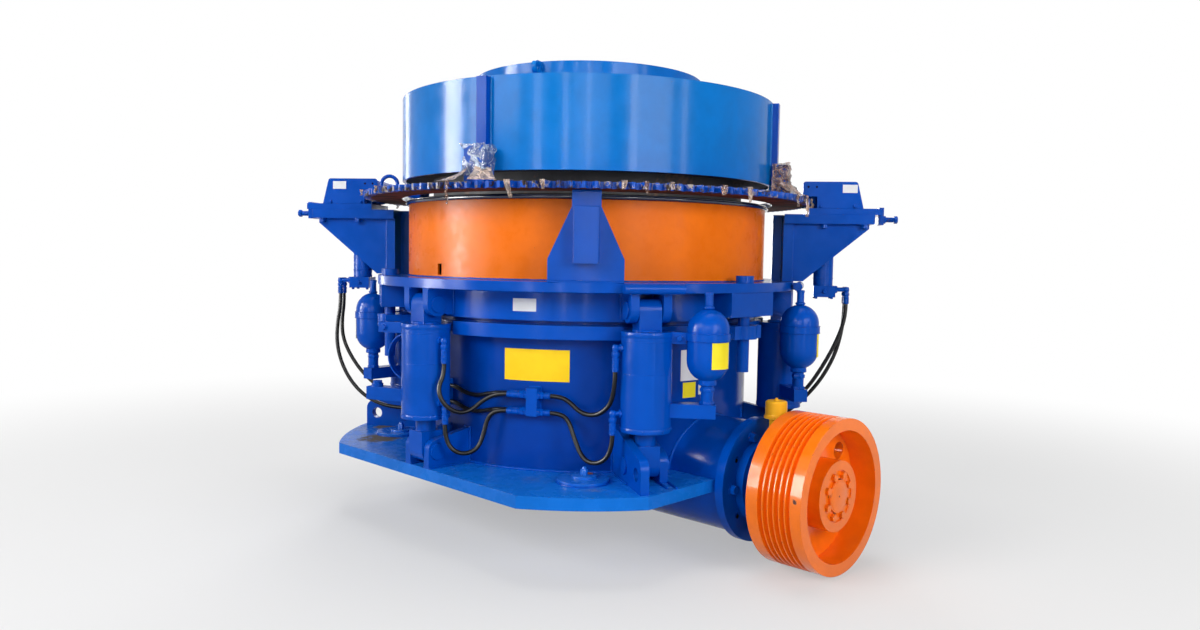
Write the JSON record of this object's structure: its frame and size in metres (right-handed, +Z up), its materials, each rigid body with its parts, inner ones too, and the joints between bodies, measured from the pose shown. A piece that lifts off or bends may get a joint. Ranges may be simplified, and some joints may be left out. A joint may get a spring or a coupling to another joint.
{
  "type": "cone crusher",
  "caption": "Hydraulic cone crusher: flanged frame with countershaft and belt pulley, adjustment ring held down by cylinders, toothed drive ring and cap drum over a crushing bowl.",
  "frame": {"origin": "crusher axis at the underside of the mounting flange", "axes": "+X along the countershaft towards the belt pulley, +Z up along the crusher axis"},
  "size_m": [2.6354, 2.2378, 2.085],
  "materials": {
    "blue_paint": "glossy enamel",
    "orange_paint": "glossy enamel",
    "yellow_paint": "glossy enamel",
    "bright_steel": "machined and oiled",
    "hose_rubber": "smooth black hose cover",
    "cast_steel": "rough casting"
  },
  "bodies": {
    "main_frame": {"base_flange": "blue_paint", "anchor_pads": "blue_paint", "frame_shell": "blue_paint", "frame_rim": "blue_paint", "frame_hub": "blue_paint", "hub_arms": "blue_paint", "drive_tube": "blue_paint", "countershaft_box": "blue_paint", "countershaft_cover": "blue_paint", "oil_breather": "yellow_paint", "lower_lugs": "blue_paint", "lower_pins": "blue_paint", "cylinder_rods": "blue_paint", "crushing_head": "cast_steel", "mantle": "cast_steel", "feed_plate": "cast_steel", "hose_manifolds": "blue_paint", "hose_left_upper": "hose_rubber", "hose_left_lower": "hose_rubber", "hose_right_upper": "hose_rubber", "hose_right_lower": "hose_rubber", "supply_hose_upper": "hose_rubber", "supply_hose_lower": "hose_rubber", "motor_hose_right_1": "hose_rubber", "motor_hose_right_2": "hose_rubber", "motor_hose_left_1": "hose_rubber", "motor_hose_left_2": "hose_rubber"},
    "adjustment_assembly": {"adjustment_ring": "blue_paint", "guide_pins": "blue_paint", "upper_lugs": "blue_paint", "upper_pins": "blue_paint", "cylinder_barrels": "blue_paint", "accumulators": "blue_paint", "accumulator_arms": "blue_paint", "arm_strap": "blue_paint", "hose_elbows": "blue_paint", "dust_shell": "orange_paint", "ring_supports": "blue_paint", "drive_bracket_right": "blue_paint", "drive_bracket_left": "blue_paint", "slide_plates": "blue_paint", "pinion_guards": "blue_paint", "drive_motors": "blue_paint", "lifting_bars": "blue_paint"},
    "drive_ring": {"ring_gear": "blue_paint", "drive_dogs": "blue_paint", "lifting_eyes": "blue_paint"},
    "bowl_assembly": {"cap_drum": "blue_paint", "cap_deck": "blue_paint", "drum_foot": "blue_paint", "drum_bars": "blue_paint", "hopper_ring": "blue_paint", "bowl": "blue_paint", "bowl_liner": "cast_steel"},
    "pinion_right_body": {"pinion_right": "bright_steel"},
    "pinion_left_body": {"pinion_left": "bright_steel"},
    "pulley_set": {"belt_pulley": "orange_paint", "pulley_hub": "orange_paint", "countershaft": "bright_steel"}
  },
  "joints": [
    {"name": "tramp_lift", "type": "slide", "parent": "main_frame", "child": "adjustment_assembly", "axis": [0, 0, 1], "range_m": [0, 0.1], "deforming": ["hose_left_upper", "hose_right_upper", "hose_left_lower", "hose_right_lower", "motor_hose_right_1", "motor_hose_left_1", "motor_hose_right_2", "motor_hose_left_2"]},
    {"name": "ring_turn", "type": "hinge", "parent": "adjustment_assembly", "child": "drive_ring", "pos_m": [0, 0, 1.222], "axis": [0, 0, 1], "range_deg": [-180, 180]},
    {"name": "bowl_lift", "type": "slide", "parent": "drive_ring", "child": "bowl_assembly", "axis": [0, 0, 1], "range_m": [-0.01, 0.01]},
    {"name": "pinion_right_spin", "type": "hinge", "parent": "adjustment_assembly", "child": "pinion_right_body", "pos_m": [0.91015, 0.71109, 1.222], "axis": [0, 0, 1], "range_deg": [-2131, 2131]},
    {"name": "pinion_left_spin", "type": "hinge", "parent": "adjustment_assembly", "child": "pinion_left_body", "pos_m": [-0.91015, -0.71109, 1.222], "axis": [0, 0, 1], "range_deg": [-2131, 2131]},
    {"name": "pulley_spin", "type": "hinge", "parent": "main_frame", "child": "pulley_set", "pos_m": [1.3, 0, 0.022], "axis": [1, 0, 0], "continuous": true}
  ],
  "couplings": [
    {"joint": "bowl_lift", "follows": "ring_turn", "m_per_rad": 0.0031831},
    {"joint": "pinion_right_spin", "follows": "ring_turn", "ratio": -11.833},
    {"joint": "pinion_left_spin", "follows": "ring_turn", "ratio": -11.833}
  ]
}
